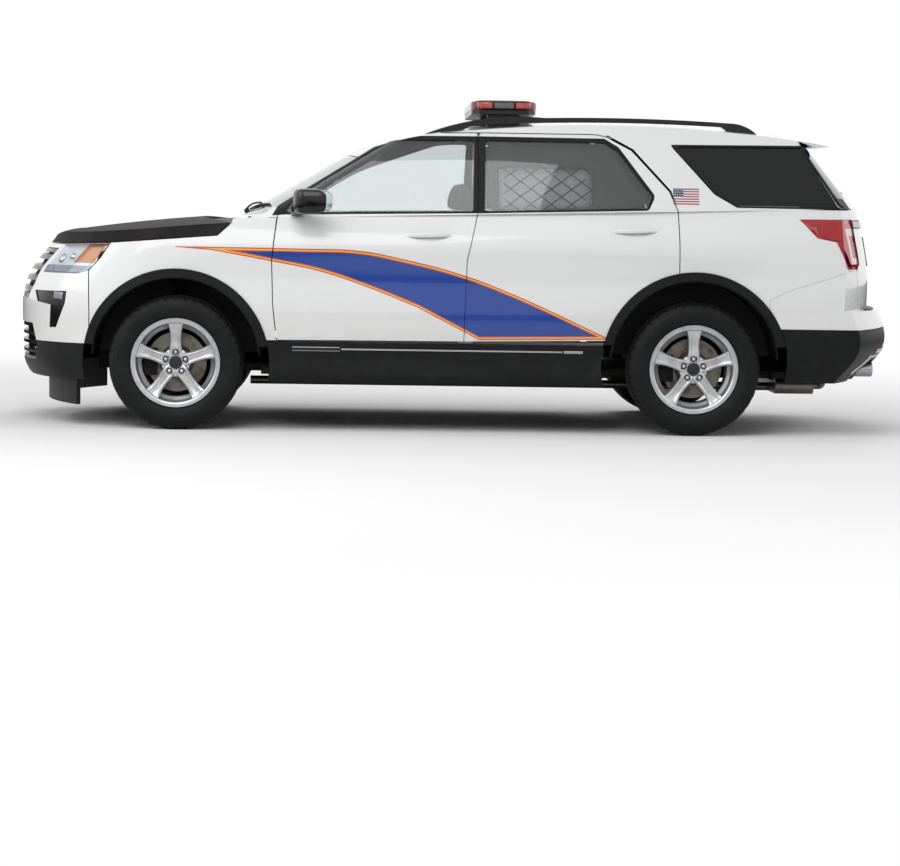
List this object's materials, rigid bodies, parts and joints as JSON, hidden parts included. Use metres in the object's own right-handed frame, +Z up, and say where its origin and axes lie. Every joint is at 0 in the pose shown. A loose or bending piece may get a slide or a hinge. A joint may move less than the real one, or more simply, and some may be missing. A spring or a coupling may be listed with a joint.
{
  "type": "police suv",
  "caption": "Five-door patrol SUV with roof light bar, black clamshell hood, hinged doors and tailgate, steered front wheels and rolling road wheels.",
  "frame": {"origin": "on the ground, at the centre of the vehicle's bounding box", "axes": "+X rearward along the vehicle, +Y to its right-hand side, +Z up"},
  "size_m": [5.0089, 2.28, 1.8479],
  "materials": {
    "white_paint": "gloss white paint",
    "black_paint": "satin black paint",
    "black_plastic": "grained black plastic",
    "dark_gloss": "gloss black plastic",
    "tinted_glass": "tinted glass",
    "clear_lens": "clear lamp lens",
    "red_lens": "red lens plastic",
    "blue_lens": "blue lens plastic",
    "alloy": "painted alloy",
    "tyre": "tyre rubber",
    "steel": "bare and coated steel",
    "iron": "cast iron",
    "chrome": "polished bright trim",
    "fabric": "dark seat fabric",
    "underbody": "coated steel sheet"
  },
  "bodies": {
    "body": {"cowl": "black_plastic", "front_fenders": "white_paint", "front_bumper": "white_paint", "front_valance": "black_plastic", "grille": "dark_gloss", "headlamps": "clear_lens", "fog_lamps": "dark_gloss", "body_sides": "white_paint", "roof": "white_paint", "windshield": "tinted_glass", "quarter_windows": "tinted_glass", "tail_lamps": "red_lens", "rear_bumper": "white_paint", "rear_valance": "black_plastic", "arch_mouldings": "black_plastic", "sill_cladding": "black_plastic", "wheel_liners": "black_plastic", "floor": "underbody", "roof_rails": "dark_gloss", "light_bar_base": "dark_gloss", "light_bar_red": "red_lens", "light_bar_blue": "blue_lens", "dashboard": "black_plastic", "steering_wheel": "black_plastic", "front_seats": "fabric", "rear_seat": "fabric", "engine": "iron", "front_subframe": "steel", "rear_suspension": "steel", "exhaust": "steel"},
    "hood": {"hood": "black_paint"},
    "tailgate": {"tailgate": "white_paint", "tailgate_glass": "tinted_glass"},
    "front_door_left": {"front_door_left": "white_paint", "front_door_glass_left": "tinted_glass", "mirror_left": "dark_gloss"},
    "rear_door_left": {"rear_door_left": "white_paint", "rear_door_glass_left": "tinted_glass"},
    "knuckle_left": {"knuckle_left": "iron"},
    "front_door_right": {"front_door_right": "white_paint", "front_door_glass_right": "tinted_glass", "mirror_right": "dark_gloss"},
    "rear_door_right": {"rear_door_right": "white_paint", "rear_door_glass_right": "tinted_glass"},
    "knuckle_right": {"knuckle_right": "iron"},
    "wheel_front_left": {"rim_front_left": "alloy", "tyre_front_left": "tyre"},
    "wheel_front_right": {"rim_front_right": "alloy", "tyre_front_right": "tyre"},
    "wheel_rear_left": {"rim_rear_left": "alloy", "tyre_rear_left": "tyre"},
    "wheel_rear_right": {"rim_rear_right": "alloy", "tyre_rear_right": "tyre"}
  },
  "joints": [
    {"name": "front_door_left_hinge", "type": "hinge", "parent": "body", "child": "front_door_left", "pos_m": [-1.048, -1.001, 0.9], "axis": [0, 0, -1], "range_deg": [0, 68]},
    {"name": "rear_door_left_hinge", "type": "hinge", "parent": "body", "child": "rear_door_left", "pos_m": [0.014, -1.002, 0.9], "axis": [0, 0, -1], "range_deg": [0, 70]},
    {"name": "front_door_right_hinge", "type": "hinge", "parent": "body", "child": "front_door_right", "pos_m": [-1.048, 1.001, 0.9], "axis": [0, 0, 1], "range_deg": [0, 68]},
    {"name": "rear_door_right_hinge", "type": "hinge", "parent": "body", "child": "rear_door_right", "pos_m": [0.014, 1.002, 0.9], "axis": [0, 0, 1], "range_deg": [0, 70]},
    {"name": "hood_hinge", "type": "hinge", "parent": "body", "child": "hood", "pos_m": [-1.255, 0, 1.165], "axis": [0, 1, 0], "range_deg": [0, 50]},
    {"name": "tailgate_hinge", "type": "hinge", "parent": "body", "child": "tailgate", "pos_m": [1.768, 0, 1.702], "axis": [0, -1, 0], "range_deg": [0, 75]},
    {"name": "steer_left", "type": "hinge", "parent": "body", "child": "knuckle_left", "pos_m": [-1.573, -0.745, 0.205], "axis": [0, 0.1515, 0.9885], "range_deg": [-33, 33]},
    {"name": "wheel_front_left_spin", "type": "hinge", "parent": "knuckle_left", "child": "wheel_front_left", "pos_m": [-1.573, -0.851, 0.37], "axis": [0, 1, 0], "continuous": true},
    {"name": "wheel_rear_left_spin", "type": "hinge", "parent": "body", "child": "wheel_rear_left", "pos_m": [1.292, -0.851, 0.37], "axis": [0, 1, 0], "continuous": true},
    {"name": "steer_right", "type": "hinge", "parent": "body", "child": "knuckle_right", "pos_m": [-1.573, 0.745, 0.205], "axis": [0, -0.1515, 0.9885], "range_deg": [-33, 33]},
    {"name": "wheel_front_right_spin", "type": "hinge", "parent": "knuckle_right", "child": "wheel_front_right", "pos_m": [-1.573, 0.851, 0.37], "axis": [0, 1, 0], "continuous": true},
    {"name": "wheel_rear_right_spin", "type": "hinge", "parent": "body", "child": "wheel_rear_right", "pos_m": [1.292, 0.851, 0.37], "axis": [0, 1, 0], "continuous": true}
  ],
  "couplings": [
    {"joint": "steer_right", "follows": "steer_left", "ratio": 1}
  ]
}
